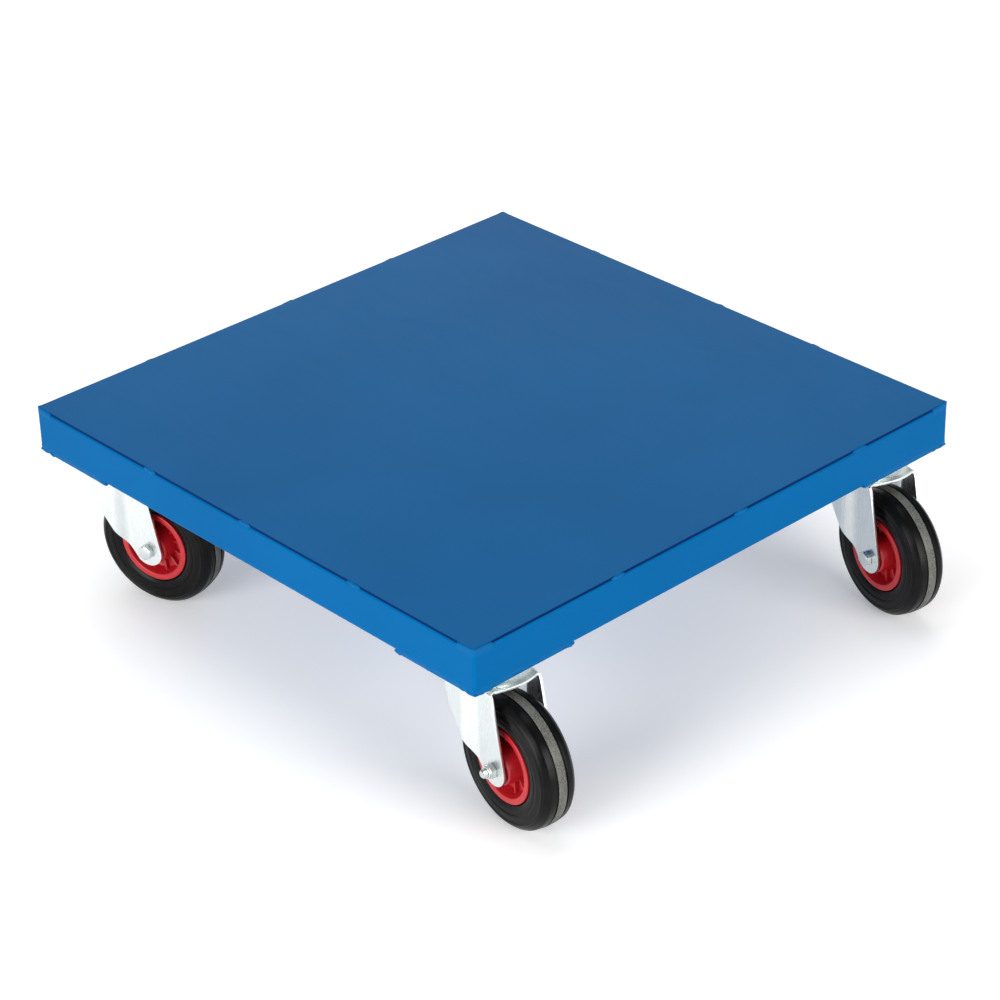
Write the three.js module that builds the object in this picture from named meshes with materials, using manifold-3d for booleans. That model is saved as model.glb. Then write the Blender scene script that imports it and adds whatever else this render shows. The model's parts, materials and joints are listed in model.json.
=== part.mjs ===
// Steel platform dolly: a square sheet-steel deck welded on a square-tube frame,
// carried at its four corners by swivel casters with rubber-tyred wheels.
// Millimetres, +Z up. The origin is on the floor under the middle of the deck.
// -Y is the front, -X the left.
import * as THREE from 'three';
import { mergeVertices } from 'three/addons/utils/BufferGeometryUtils.js';
import Module from 'manifold-3d';

const wasm = await Module();
wasm.setup();

// ---- driving dimensions -------------------------------------------------

// Deck and frame
const DECK = 600;                 // side of the square frame, outside
const SHEET = 2;                  // deck sheet thickness
const SHEET_SETBACK = 1.2;        // sheet edge inside the frame's outer face
const SHEET_CORNER = 1;
const TUBE = 42;                  // outside width and height of the square tube
const TUBE_WALL = 2;
const TUBE_CORNER = 3;            // outside corner radius of the tube
const FRAME_CORNER = 3;           // ground radius of the frame's upright corners
const WELD_GAP = 0.3;             // gap left where two pieces meet
const CORNER_PLATE = { x: 115, y: 100, t: 2 };

// Casters
const CASTER_HEIGHT = 152;
const INSET = { x: 56, y: 49 };   // swivel axis from the frame's outer faces
const TRAIL = 41.5;               // axle behind the swivel axis
const TOP_PLATE = { x: 105, y: 85, t: 3, corner: 8 };
const BOLTS = { x: 80, y: 60, hole: 4.5 };
// King pin: radii of its shank, its riveted head and the flange under the
// lower balls, and the heights of the last two
const PIN = { shank: 7, head: 9, flange: 22, headHeight: 3.5, flangeHeight: 3 };
const BALL_ROWS = { upper: 27, lower: 17 };
const DUST_RING = { inner: 31.6, outer: 33 };

// Fork, in its own frame: x runs from the swivel axis towards the axle,
// y along the axle, z up from the floor
const STEEL = 2.5;                // thickness of the pressed fork
const LEG_NARROW = 27.2;          // outer face of the leg's panel beside the axle
const LEG_WIDE = 35.4;            // outer face of the leg's panel beside the swivel axis
const JOGGLE = [10, 24];          // where the leg steps from wide to narrow
const CROWN_Z = 139;              // top of the crown's rim
const DRUM = { z: 144, top: 34, base: 41, hole: 9 };
const LEG_BACK = -12.5;           // leg edge nearest the swivel axis
const LEG_FRONT_TOP = 41;         // leg edge farthest from it, at the crown
// Round end of the leg, its centre a little past the axle, between two angles
const LEG_END = { radius: 15, past: 1, from: -0.05 * Math.PI, to: -0.72 * Math.PI };
// How far the crown bulges past the legs' front edge and past their back edge
const CROWN_BULGE = { front: 4, back: 30.5 };
// The leg's edge from its round end up to the crown, at the back
const LEG_BACK_LINE = [[0.5, 95.5], [-8, 108], [LEG_BACK, 121]];

// Wheel
const WHEEL = 62.5;               // radius over the tread
const TYRE_HALF = 18;             // half the tyre's width
const TREAD_HALF = 11.5;
// Radius and half width where the tyre's shoulder and sidewall bend
const SHOULDER = [[60.2, 14.6], [54, 17.2]];
const SIDEWALL = 44;              // radius where the tyre is widest
const BEAD_HALF = 13.6;           // half the tyre's width in the rim's seat
const BEAD_FLARE = 0.5;           // how much wider it is at the flanges' edge
const RIM = { flange: 36, seat: 32, half: 17.2, web: 3, wall: 3 };
const HUB = { outer: 16.5, tip: 15.5, bore: 12, half: 22 };
const BEARING_HALF = 19;
const SLEEVE = { outer: 7.5, bore: 4.3 };
const AXLE = { shank: 4, corner: 7.5, head: 5.3, nut: 7, length: 66 };
const BALL = 2.3;                 // radius of a bearing ball

const GAP = 0.3;                  // clearance between pieces that touch or turn
const LONG = 400;                 // longer than any piece of a caster
const SPARE = 1;                  // how far a cutting shape reaches past the cut

// How many flats stand in for each round shape
const FLATS = {
  tyre: 32, rim: 22, sleeve: 12, shank: 10, legEnd: 7,
  crown: 20, crownEnd: 6, joggle: 4, dustRing: 20, pin: 14, row: 14, ball: 6,
  hole: 8, corner: 3, tubeInside: 2,
};

const HEXAGON = 6;                // sides of the bolt's head and of the nut

// Heights worked out from the above
const AXLE_Z = WHEEL;
const PLATE_Z = CASTER_HEIGHT - TOP_PLATE.t;
const FRAME_Z = CASTER_HEIGHT + CORNER_PLATE.t;
const SHEET_Z = FRAME_Z + TUBE;

// Each caster stands with its wheel swung to its own heading (degrees), and
// its axle bolt is put in from one side or the other. The front left one is
// bolted on a little off the common place
const CASTERS = [
  { name: 'front_left', side: [-1, -1], off: [1.1, -1], heading: 264, nutSide: -1 },
  { name: 'front_right', side: [1, -1], heading: 259, nutSide: 1 },
  { name: 'rear_left', side: [-1, 1], heading: 287.5, nutSide: 1 },
  { name: 'rear_right', side: [1, 1], heading: 86, nutSide: 1 },
];

// ---- materials ----------------------------------------------------------

const finish = (color, roughness, metalness) =>
  () => new THREE.MeshStandardMaterial({ color, roughness, metalness });

const bluePaint = finish(0x0b6cb0, 0.4, 0.0);
const zincPlate = finish(0xc3cbc9, 0.32, 0.9);
const bearingSteel = finish(0x8f9496, 0.25, 1.0);
const redPlastic = finish(0xb3141c, 0.45, 0.0);
const blackRubber = finish(0x1b1b1d, 0.7, 0.0);
const blackPlastic = finish(0x222224, 0.6, 0.0);

// ---- geometry helpers ---------------------------------------------------

// A closed three.js geometry as a solid that can be cut and joined
function solid(geometry) {
  const bare = geometry.clone();
  bare.deleteAttribute('normal');
  bare.deleteAttribute('uv');
  const merged = mergeVertices(bare);
  const index = merged.getIndex().array;
  const triangles = [];
  for (let i = 0; i < index.length; i += 3) {
    const [a, b, c] = [index[i], index[i + 1], index[i + 2]];
    if (a !== b && b !== c && c !== a) triangles.push(a, b, c);
  }
  return new wasm.Manifold(new wasm.Mesh({
    numProp: 3,
    vertProperties: new Float32Array(merged.getAttribute('position').array),
    triVerts: new Uint32Array(triangles),
  }));
}

// A solid as a three.js geometry again
function geometryOf(body) {
  const mesh = body.getMesh();
  const geometry = new THREE.BufferGeometry();
  geometry.setAttribute('position', new THREE.BufferAttribute(mesh.vertProperties, 3));
  geometry.setIndex(new THREE.BufferAttribute(mesh.triVerts, 1));
  geometry.computeVertexNormals();
  return geometry;
}

// A profile of [radius, height] points turned about Z. The outer side is
// drawn upwards, so that the faces point out
function turned(profile, segments) {
  const points = profile.map(([r, z]) => new THREE.Vector2(r, z));
  return new THREE.LatheGeometry(points, segments).rotateX(Math.PI / 2);
}

// A ring with a rectangular section
function ring(inner, outer, low, high, segments) {
  const profile = [[inner, low], [outer, low], [outer, high], [inner, high], [inner, low]];
  return turned(profile, segments);
}

// A flat outline pushed up Z from z = low
function prism(shape, low, height) {
  const options = { depth: height, bevelEnabled: false };
  return new THREE.ExtrudeGeometry(shape, options).translate(0, 0, low);
}

// Points on an arc, both ends included
function arc(x, y, radius, from, to, steps) {
  const points = [];
  for (let i = 0; i <= steps; i += 1) {
    const angle = from + (to - from) * i / steps;
    points.push([x + radius * Math.cos(angle), y + radius * Math.sin(angle)]);
  }
  return points;
}

const outline = (points) => new THREE.Shape(points.map(([x, y]) => new THREE.Vector2(x, y)));

// A rectangle with rounded corners, centred on the origin
function roundedRectangle(width, height, radius, steps = FLATS.corner) {
  const [x, y] = [width / 2 - radius, height / 2 - radius];
  const quarter = Math.PI / 2;
  return outline([
    ...arc(x, -y, radius, -quarter, 0, steps),
    ...arc(x, y, radius, 0, quarter, steps),
    ...arc(-x, y, radius, quarter, 2 * quarter, steps),
    ...arc(-x, -y, radius, 2 * quarter, 3 * quarter, steps),
  ]);
}

// A hole for an outline, with its flats at the radius
function roundHole(x, y, radius) {
  const sides = FLATS.hole;
  const corner = radius / Math.cos(Math.PI / sides);
  const points = arc(x, y, corner, 2 * Math.PI, 0, sides).slice(0, -1);
  return new THREE.Path(points.map(([px, py]) => new THREE.Vector2(px, py)));
}

// An upright round bar
function bar(radius, low, high, segments, x = 0, y = 0) {
  const height = high - low;
  return new THREE.CylinderGeometry(radius, radius, height, segments)
    .rotateX(Math.PI / 2).translate(x, y, low + height / 2);
}

// Centres of the four caster bolts of one corner, or of the plate about 0, 0
function boltCentres(x, y) {
  const centres = [];
  for (const i of [-1, 1]) {
    for (const j of [-1, 1]) centres.push([x + i * BOLTS.x / 2, y + j * BOLTS.y / 2]);
  }
  return centres;
}

const swivelCentre = ({ side, off = [0, 0] }) =>
  [side[0] * (DECK / 2 - INSET.x) + off[0], side[1] * (DECK / 2 - INSET.y) + off[1]];

// ---- deck and frame -----------------------------------------------------

function deckSheet() {
  const side = DECK - 2 * SHEET_SETBACK;
  return prism(roundedRectangle(side, side, SHEET_CORNER), SHEET_Z, SHEET);
}

// A length of square tube along X, centred on the origin
function squareTube(length) {
  const section = roundedRectangle(TUBE, TUBE, TUBE_CORNER);
  const inside = TUBE - 2 * TUBE_WALL;
  section.holes.push(roundedRectangle(inside, inside, TUBE_CORNER - TUBE_WALL, FLATS.tubeInside));
  return prism(section, -length / 2, length).rotateY(Math.PI / 2);
}

// All that the frame's four tubes may fill: a square block with rounded
// upright corners, less the holes for the caster bolts
function frameBlock() {
  const block = solid(prism(roundedRectangle(DECK, DECK, FRAME_CORNER), FRAME_Z, TUBE));
  let holes = null;
  for (const caster of CASTERS) {
    for (const [x, y] of boltCentres(...swivelCentre(caster))) {
      const [low, high] = [FRAME_Z - SPARE, FRAME_Z + 2 * TUBE_WALL];
      const hole = solid(bar(BOLTS.hole, low, high, FLATS.hole, x, y));
      holes = holes ? holes.add(hole) : hole;
    }
  }
  return block.subtract(holes);
}

// The front rail, mitred at both ends, ready to be turned to its side
function rail(block, turn) {
  const tube = squareTube(DECK).translate(0, -(DECK - TUBE) / 2, FRAME_Z + TUBE / 2);
  const far = DECK / 2 - WELD_GAP / 2;
  const wedge = outline([[0, 0], [-far, -far], [-far, -DECK], [far, -DECK], [far, -far]]);
  const wedgePrism = prism(wedge, FRAME_Z - SPARE, TUBE + 2 * SPARE);
  const wedgeSolid = solid(wedgePrism.translate(0, -WELD_GAP / 2, 0));
  const mitred = solid(tube).intersect(wedgeSolid);
  const placed = mitred.rotate([0, 0, turn]);
  return geometryOf(placed.intersect(block));
}

function crossMember() {
  const length = DECK - 2 * TUBE - 2 * WELD_GAP;
  return squareTube(length).translate(0, 0, FRAME_Z + TUBE / 2);
}

// A plate in z = low to low + t, with round holes given as [x, y, radius]
function drilledPlate(shape, low, t, holes) {
  for (const hole of holes) shape.holes.push(roundHole(...hole));
  return prism(shape, low, t);
}

function cornerPlate(caster) {
  const { x, y, t } = CORNER_PLATE;
  const [sx, sy] = caster.side;
  const centre = [sx * (DECK - x) / 2, sy * (DECK - y) / 2];
  const [left, right] = [centre[0] - x / 2, centre[0] + x / 2];
  const [front, back] = [centre[1] - y / 2, centre[1] + y / 2];
  const shape = outline([[left, front], [right, front], [right, back], [left, back]]);
  const holes = boltCentres(...swivelCentre(caster)).map((c) => [...c, BOLTS.hole]);
  return drilledPlate(shape, CASTER_HEIGHT, t, holes);
}

// ---- swivel head --------------------------------------------------------

function topPlate() {
  const holes = boltCentres(0, 0).map((c) => [...c, BOLTS.hole]);
  holes.push([0, 0, PIN.shank + GAP]);
  const shape = roundedRectangle(TOP_PLATE.x, TOP_PLATE.y, TOP_PLATE.corner);
  return drilledPlate(shape, PLATE_Z, TOP_PLATE.t, holes);
}

// Rivet pin with the washer-like flange that carries the lower balls
function kingPin() {
  const flangeTop = DRUM.z - STEEL - 2 * BALL - 2 * GAP;
  const flangeLow = flangeTop - PIN.flangeHeight;
  const low = flangeLow - PIN.headHeight;
  const high = CASTER_HEIGHT - GAP;
  const profile = [
    [0, low], [PIN.head, low], [PIN.head, flangeLow], [PIN.flange, flangeLow],
    [PIN.flange, flangeTop], [PIN.shank, flangeTop], [PIN.shank, high], [0, high],
  ];
  return turned(profile, FLATS.pin);
}

// A row of balls, as one ring with a round section
function ballRow(radius, z) {
  return turned(arc(radius, z, BALL, 0, 2 * Math.PI, FLATS.ball), FLATS.row);
}

const upperBalls = () => ballRow(BALL_ROWS.upper, (DRUM.z + PLATE_Z) / 2);
const lowerBalls = () => ballRow(BALL_ROWS.lower, DRUM.z - STEEL - GAP - BALL);
const dustRing = () =>
  ring(DUST_RING.inner, DUST_RING.outer, DRUM.z + GAP, PLATE_Z - GAP, FLATS.dustRing);

// ---- fork ---------------------------------------------------------------

// Outer face of a leg, as the distance from the fork's middle plane: wide
// beside the swivel axis, narrow beside the axle, a smooth step between
function legLine(x) {
  const [start, end] = JOGGLE;
  const s = Math.min(1, Math.max(0, (x - start) / (end - start)));
  return LEG_WIDE + (LEG_NARROW - LEG_WIDE) * s * s * (3 - 2 * s);
}

// Stations along the leg line, close together through the step
function legStations(from, to) {
  const [start, end] = JOGGLE;
  const steps = FLATS.joggle;
  const stations = [from];
  for (let i = 0; i <= steps; i += 1) stations.push(start + (end - start) * i / steps);
  stations.push(to);
  return stations;
}

// The crown seen from above: half an ellipse at the back, a shallow curve in
// front, and the leg lines down both sides
function crownOutline() {
  const side = legStations(LEG_BACK, LEG_FRONT_TOP).map((x) => [x, legLine(x)]);
  const steps = FLATS.crownEnd;
  const front = [];
  const back = [];
  for (let i = 1; i < steps; i += 1) {
    const s = 1 - 2 * i / steps;
    front.push([LEG_FRONT_TOP + CROWN_BULGE.front * (1 - s * s), LEG_NARROW * s]);
    const turn = Math.PI * i / steps;
    back.push([LEG_BACK - CROWN_BULGE.back * Math.sin(turn), -LEG_WIDE * Math.cos(turn)]);
  }
  const mirrored = side.map(([x, y]) => [x, -y]).reverse();
  return outline([...side, ...front, ...mirrored, ...back]);
}

// The crown's upper surface turned about the swivel axis: a flat rim that
// rises in a cone to the drum's flat top. drop lowers it by the steel's
// thickness for the inside
function crownHat(drop) {
  const slope = (DRUM.z - CROWN_Z) / (DRUM.base - DRUM.top);
  const inward = drop ? drop * (Math.hypot(1, slope) - 1) / slope : 0;
  const profile = [
    [0, 0], [LONG / 2, 0], [LONG / 2, CROWN_Z - drop],
    [DRUM.base - inward, CROWN_Z - drop], [DRUM.top - inward, DRUM.z - drop],
    [0, DRUM.z - drop],
  ];
  return solid(turned(profile, FLATS.crown));
}

// A leg seen from the side, in x and z
function legOutline() {
  const { radius, past, from, to } = LEG_END;
  const end = arc(TRAIL + past, AXLE_Z, radius, from, to, FLATS.legEnd);
  const above = DRUM.z + STEEL;
  const back = [...LEG_BACK_LINE, [LEG_BACK, above]];
  const front = [[LEG_FRONT_TOP, above], [LEG_FRONT_TOP, CROWN_Z - SPARE]];
  return outline([...front, ...end, ...back]);
}

// The strip of steel that both legs are cut from, seen from above
function legStrip(side) {
  const outer = legStations(LEG_BACK - SPARE, TRAIL + 2 * LEG_END.radius).map((x) => [x, legLine(x)]);
  const inner = outer.map(([x, y]) => [x, y - STEEL]).reverse();
  const points = [...outer, ...inner].map(([x, y]) => [x, side * y]);
  return solid(prism(outline(points), 0, LONG));
}

function fork() {
  const hat = crownHat(0);
  const shell = hat.subtract(crownHat(STEEL));
  const crown = shell.intersect(solid(prism(crownOutline(), 0, LONG)));
  const profile = solid(prism(legOutline(), -LONG / 2, LONG).rotateX(Math.PI / 2));
  const legs = legStrip(1).add(legStrip(-1)).intersect(profile).intersect(hat);
  const pinHole = solid(bar(DRUM.hole, 0, LONG, FLATS.pin));
  const axleHole = solid(bar(AXLE.shank + GAP, -LONG / 2, LONG / 2, FLATS.shank)
    .rotateX(Math.PI / 2).translate(TRAIL, 0, AXLE_Z));
  return geometryOf(crown.add(legs).subtract(pinHole).subtract(axleHole));
}

// ---- wheel, about its own axle along Z ----------------------------------

function tyre() {
  const bead = RIM.seat + GAP;
  const half = [
    [WHEEL, TREAD_HALF], ...SHOULDER, [SIDEWALL, TYRE_HALF],
    [RIM.flange + GAP, BEAD_HALF + BEAD_FLARE], [bead, BEAD_HALF],
  ];
  const lower = half.map(([r, z]) => [r, -z]).reverse();
  return turned([...lower, ...half, lower[0]], FLATS.tyre);
}

function rim() {
  const { flange, seat, half: edge, web, wall } = RIM;
  const half = [
    [seat, BEAD_HALF + GAP], [flange, BEAD_HALF + BEAD_FLARE + GAP], [flange, edge],
    [seat - wall, edge], [seat - wall, web], [HUB.outer, web],
    [HUB.tip, HUB.half], [HUB.bore, HUB.half],
  ];
  const lower = half.map(([r, z]) => [r, -z]).reverse();
  return turned([...lower, ...half, lower[0]], FLATS.rim);
}

const rollerBearing = () =>
  ring(SLEEVE.outer + GAP, HUB.bore - GAP, -BEARING_HALF, BEARING_HALF, FLATS.sleeve);

function axleSleeve() {
  const half = LEG_NARROW - STEEL - GAP;
  return ring(SLEEVE.bore, SLEEVE.outer, -half, half, FLATS.sleeve);
}

// Hexagon bolt: head on the +Z side, shank down through both legs
function axleBolt() {
  const seat = LEG_NARROW + GAP;
  const head = solid(bar(AXLE.corner, seat, seat + AXLE.head, HEXAGON));
  const shank = solid(bar(AXLE.shank, seat - AXLE.length, seat + SPARE, FLATS.shank));
  return geometryOf(head.add(shank));
}

function axleNut() {
  const hexagon = outline(arc(0, 0, AXLE.corner, 0, 2 * Math.PI, HEXAGON).slice(0, -1));
  const low = -LEG_NARROW - GAP - AXLE.nut;
  return drilledPlate(hexagon, low, AXLE.nut, [[0, 0, AXLE.shank + GAP]]);
}

// ---- assembly -----------------------------------------------------------

function named(name, geometry, material) {
  const mesh = new THREE.Mesh(geometry, material());
  mesh.name = name;
  return mesh;
}

function casterGroups(caster) {
  const { name, heading, nutSide } = caster;
  const head = new THREE.Group();
  head.position.set(...swivelCentre(caster), 0);
  head.add(named(`top_plate_${name}`, topPlate(), zincPlate));
  head.add(named(`king_pin_${name}`, kingPin(), zincPlate));
  head.add(named(`dust_ring_${name}`, dustRing(), zincPlate));
  head.add(named(`upper_balls_${name}`, upperBalls(), bearingSteel));
  head.add(named(`lower_balls_${name}`, lowerBalls(), bearingSteel));

  const swivel = new THREE.Group();
  swivel.rotation.z = THREE.MathUtils.degToRad(heading);
  swivel.add(named(`fork_${name}`, fork(), zincPlate));

  const axle = new THREE.Group();
  axle.position.set(TRAIL, 0, AXLE_Z);
  axle.rotation.x = nutSide * Math.PI / 2;
  axle.add(named(`axle_bolt_${name}`, axleBolt(), zincPlate));
  axle.add(named(`axle_nut_${name}`, axleNut(), zincPlate));
  axle.add(named(`axle_sleeve_${name}`, axleSleeve(), zincPlate));
  axle.add(named(`roller_bearing_${name}`, rollerBearing(), blackPlastic));
  axle.add(named(`rim_${name}`, rim(), redPlastic));
  axle.add(named(`tyre_${name}`, tyre(), blackRubber));
  swivel.add(axle);
  head.add(swivel);
  return head;
}

const dolly = new THREE.Group();
dolly.add(named('deck_sheet', deckSheet(), bluePaint));
const block = frameBlock();
const RAILS = { rail_front: 0, rail_right: 90, rail_rear: 180, rail_left: 270 };
for (const [name, turn] of Object.entries(RAILS)) {
  dolly.add(named(name, rail(block, turn), bluePaint));
}
dolly.add(named('cross_member', crossMember(), bluePaint));
for (const caster of CASTERS) {
  dolly.add(named(`corner_plate_${caster.name}`, cornerPlate(caster), bluePaint));
  dolly.add(casterGroups(caster));
}

export default dolly;
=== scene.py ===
# %% [markdown]
# # A steel platform dolly on swivel casters
# A square deck of blue powder-coated sheet steel lies on a frame of square
# tube. Under each corner a zinc-plated swivel caster carries a rubber-tyred
# wheel on a red plastic rim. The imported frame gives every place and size, so
# it is loaded first, and each new piece is made around it.
# %% Load the frame
import json
import math
import random

import bpy
from mathutils import Matrix, Vector


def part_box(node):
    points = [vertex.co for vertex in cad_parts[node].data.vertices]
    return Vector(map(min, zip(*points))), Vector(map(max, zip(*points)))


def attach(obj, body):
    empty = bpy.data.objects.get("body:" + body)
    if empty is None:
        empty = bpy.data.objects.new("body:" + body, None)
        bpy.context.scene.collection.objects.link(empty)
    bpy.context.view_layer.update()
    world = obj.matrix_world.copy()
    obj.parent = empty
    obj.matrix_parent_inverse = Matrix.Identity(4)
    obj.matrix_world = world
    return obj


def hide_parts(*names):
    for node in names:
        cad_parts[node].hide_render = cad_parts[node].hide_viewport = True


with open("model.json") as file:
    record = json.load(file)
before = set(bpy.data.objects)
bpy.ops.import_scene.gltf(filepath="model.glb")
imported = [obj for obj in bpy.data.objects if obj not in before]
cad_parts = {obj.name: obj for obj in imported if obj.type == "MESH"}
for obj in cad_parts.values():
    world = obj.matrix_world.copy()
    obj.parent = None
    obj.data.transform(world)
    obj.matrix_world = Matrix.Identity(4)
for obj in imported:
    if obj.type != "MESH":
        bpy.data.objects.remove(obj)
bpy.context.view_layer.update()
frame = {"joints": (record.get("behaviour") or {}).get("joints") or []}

MM = 0.001
random.seed(11)

# %% [markdown]
# The joints say where each caster swivels and where its wheel turns. From
# those two points come the caster's heading and its trail, the distance by
# which the wheel runs behind the swivel axis.
# %% Places of the four casters
CORNERS = ("front_left", "front_right", "rear_left", "rear_right")
JOINTS = {joint["name"]: joint for joint in frame["joints"]}


def caster_places(corner):
    """The swivel axis, the wheel's centre and the heading of one caster."""
    swivel = Vector(JOINTS["caster_swivel_" + corner]["pos_m"])
    wheel = Vector(JOINTS["wheel_spin_" + corner]["pos_m"])
    run = wheel - swivel
    return {
        "swivel": Vector((swivel.x, swivel.y, 0)),
        "wheel": wheel,
        "heading": math.atan2(run.y, run.x),
    }


CASTERS = {corner: caster_places(corner) for corner in CORNERS}
first = CASTERS["front_left"]
TRAIL = (first["wheel"] - first["swivel"]).xy.length
AXLE_Z = first["wheel"].z
print("trail %.1f mm, axle %.1f mm above the floor" % (TRAIL / MM, AXLE_Z / MM))

# %% [markdown]
# Every operator works on what is selected, and the loaded nodes are selected,
# so a piece always starts by selecting nothing. Faces and edges are then
# picked in code by where they are, as a modeller would click them.
# %% Working habits
def start(name, add, **settings):
    """Adds one primitive with nothing else selected, and names it."""
    bpy.ops.object.select_all(action="DESELECT")
    add(**settings)
    piece = bpy.context.object
    piece.name = piece.data.name = name
    bpy.ops.object.transform_apply(location=True, rotation=True, scale=True)
    return piece


def activate(*pieces):
    """Selects these pieces only; the first is the active one."""
    bpy.ops.object.select_all(action="DESELECT")
    for piece in pieces:
        piece.select_set(True)
    bpy.context.view_layer.objects.active = pieces[0]


def pick(piece, kind, test):
    """Opens a piece in edit mode with the parts of one kind that pass a test."""
    activate(piece)
    mesh = piece.data
    for part in (*mesh.vertices, *mesh.edges, *mesh.polygons):
        part.select = False
    for part in getattr(mesh, kind):
        part.select = bool(test(part))
    bpy.context.tool_settings.mesh_select_mode = [
        kind == mode for mode in ("vertices", "edges", "polygons")]
    bpy.ops.object.mode_set(mode="EDIT")


def done(piece):
    """Leaves edit mode and gives the piece back."""
    bpy.ops.object.mode_set(mode="OBJECT")
    return piece


def ends(piece, edge):
    """The two end points of an edge."""
    a, b = edge.vertices
    return piece.data.vertices[a].co, piece.data.vertices[b].co


def bevel(piece, width, segments, test):
    """Rounds the edges whose two end points pass a test."""
    pick(piece, "edges", lambda edge: test(*ends(piece, edge)))
    bpy.ops.mesh.bevel(offset=width, segments=segments, affect="EDGES")
    return done(piece)


def add_modifier(piece, kind, **settings):
    """Adds a modifier, sets it and applies it."""
    activate(piece)
    modifier = piece.modifiers.new(kind, kind)
    for key, value in settings.items():
        setattr(modifier, key, value)
    bpy.ops.object.modifier_apply(modifier=modifier.name)
    return piece


def smooth(piece, angle=35):
    """Shades a piece smooth except across its sharp edges."""
    activate(piece)
    bpy.ops.object.shade_smooth_by_angle(angle=math.radians(angle))
    return piece


def crisp(piece, angle=50):
    """Smooth shading in which the large flat faces keep their own normals."""
    smooth(piece, angle)
    return add_modifier(piece, "WEIGHTED_NORMAL", keep_sharp=True)


def copy_to(master, name, place):
    """A copy with its own mesh, with its place put into the mesh."""
    piece = master.copy()
    piece.data = master.data.copy()
    piece.name = piece.data.name = name
    bpy.context.scene.collection.objects.link(piece)
    piece.data.transform(place)
    return piece


def mount(piece, body, slot, *nodes):
    """Rides a piece on a body and hides the loaded parts it stands for; its slot is not used."""
    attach(piece, body)
    if nodes:
        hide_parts(*nodes)
    return piece


# %% [markdown]
# ## Finishes
# Each finish is a small node tree on Object coordinates, in metres. Noise of
# a few millimetres makes a surface uneven, finer noise makes its grain, and
# a Bump node turns the grain into relief. The helpers below add the nodes
# that all finishes share.
# %% Helpers for the node trees
def new_finish(name, color, roughness, metallic=0.0):
    """A Principled material, and the parts of its tree in daily use."""
    material = bpy.data.materials.new(name)
    material.use_nodes = True
    nodes, links = material.node_tree.nodes, material.node_tree.links
    shader = nodes["Principled BSDF"]
    shader.inputs["Base Color"].default_value = (*color, 1)
    shader.inputs["Roughness"].default_value = roughness
    shader.inputs["Metallic"].default_value = metallic
    place = nodes.new("ShaderNodeTexCoord").outputs["Object"]
    return material, nodes, links, shader, place


def noise(nodes, links, place, scale, detail=2.0, stretch=None):
    """Noise at a scale in cycles per metre, stretched if asked."""
    if stretch:
        mapping = nodes.new("ShaderNodeMapping")
        mapping.inputs["Scale"].default_value = stretch
        links.new(place, mapping.inputs["Vector"])
        place = mapping.outputs["Vector"]
    texture = nodes.new("ShaderNodeTexNoise")
    texture.inputs["Scale"].default_value = scale
    texture.inputs["Detail"].default_value = detail
    links.new(place, texture.inputs["Vector"])
    return texture.outputs["Fac"]


def spread(nodes, links, value, low, high, start=0.35, stop=0.65):
    """Maps a noise to the range low to high."""
    node = nodes.new("ShaderNodeMapRange")
    node.inputs["From Min"].default_value = start
    node.inputs["From Max"].default_value = stop
    node.inputs["To Min"].default_value = low
    node.inputs["To Max"].default_value = high
    links.new(value, node.inputs["Value"])
    return node.outputs["Result"]


def mix_colors(nodes, links, factor, first, second):
    """Mixes two colours, or a colour socket and a colour, by a factor."""
    node = nodes.new("ShaderNodeMix")
    node.data_type = "RGBA"
    links.new(factor, node.inputs["Factor"])
    for socket, color in ((node.inputs[6], first), (node.inputs[7], second)):
        if isinstance(color, tuple):
            socket.default_value = (*color, 1)
        else:
            links.new(color, socket)
    return node.outputs[2]


def relief(nodes, links, shader, height, depth, below=None):
    """Adds a height to the surface as bump, depth in metres."""
    bump = nodes.new("ShaderNodeBump")
    bump.inputs["Strength"].default_value = 1.0
    bump.inputs["Distance"].default_value = depth
    links.new(height, bump.inputs["Height"])
    if below:
        links.new(below, bump.inputs["Normal"])
    links.new(bump.outputs["Normal"], shader.inputs["Normal"])
    return bump.outputs["Normal"]


# %% [markdown]
# ** Blue powder coat.** Powder melts into a film with a faint orange-peel
# surface, a millimetre or two from crest to crest. Over a large sheet the
# tone drifts a little, and handling leaves fine scuffs that are duller than
# the rest. Where the sheet lies on the frame a dark line of painted shade is
# put in, for the shadowed crevice between the sheet's cut edge and the tube's
# rounded top. So the coat can be given two heights, where the painted shade
# starts and where it is full. The sheet is handled most, and is a little
# glossier than the frame.
# %% Blue powder coat
BLUE = (0.0, 0.091, 0.262)
BLUE_LIGHT = (0.0, 0.100, 0.284)
# painted shade: the colour of the shadowed crevice under the sheet's edge
BLUE_CREVICE_SHADE = (0.0, 0.014, 0.090)


def powder_coat(name, gloss, shade_start_z=None, shade_full_z=None):
    material, nodes, links, shader, place = new_finish(name, BLUE, 0.34)
    drift = spread(nodes, links, noise(nodes, links, place, 5, 3), 0.0, 1.0)
    color = mix_colors(nodes, links, drift, BLUE, BLUE_LIGHT)
    # painted shade: between the two heights the coat darkens to the crevice's shadow colour
    if shade_start_z:
        split = nodes.new("ShaderNodeSeparateXYZ")
        links.new(place, split.inputs["Vector"])
        dark = spread(nodes, links, split.outputs["Z"], 0.0, 1.0, shade_start_z, shade_full_z)
        color = mix_colors(nodes, links, dark, color, BLUE_CREVICE_SHADE)
    links.new(color, shader.inputs["Base Color"])
    scuffs = noise(nodes, links, place, 60, 6, (1.0, 0.25, 1.0))
    links.new(spread(nodes, links, scuffs, 0.31, 0.39, 0.4, 0.8), shader.inputs["Roughness"])
    shader.inputs["Specular IOR Level"].default_value = gloss
    waves, peel = noise(nodes, links, place, 7, 1), noise(nodes, links, place, 520, 1)
    wavy = relief(nodes, links, shader, waves, 0.4 * MM)
    relief(nodes, links, shader, peel, 0.045 * MM, wavy)
    return material


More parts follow.
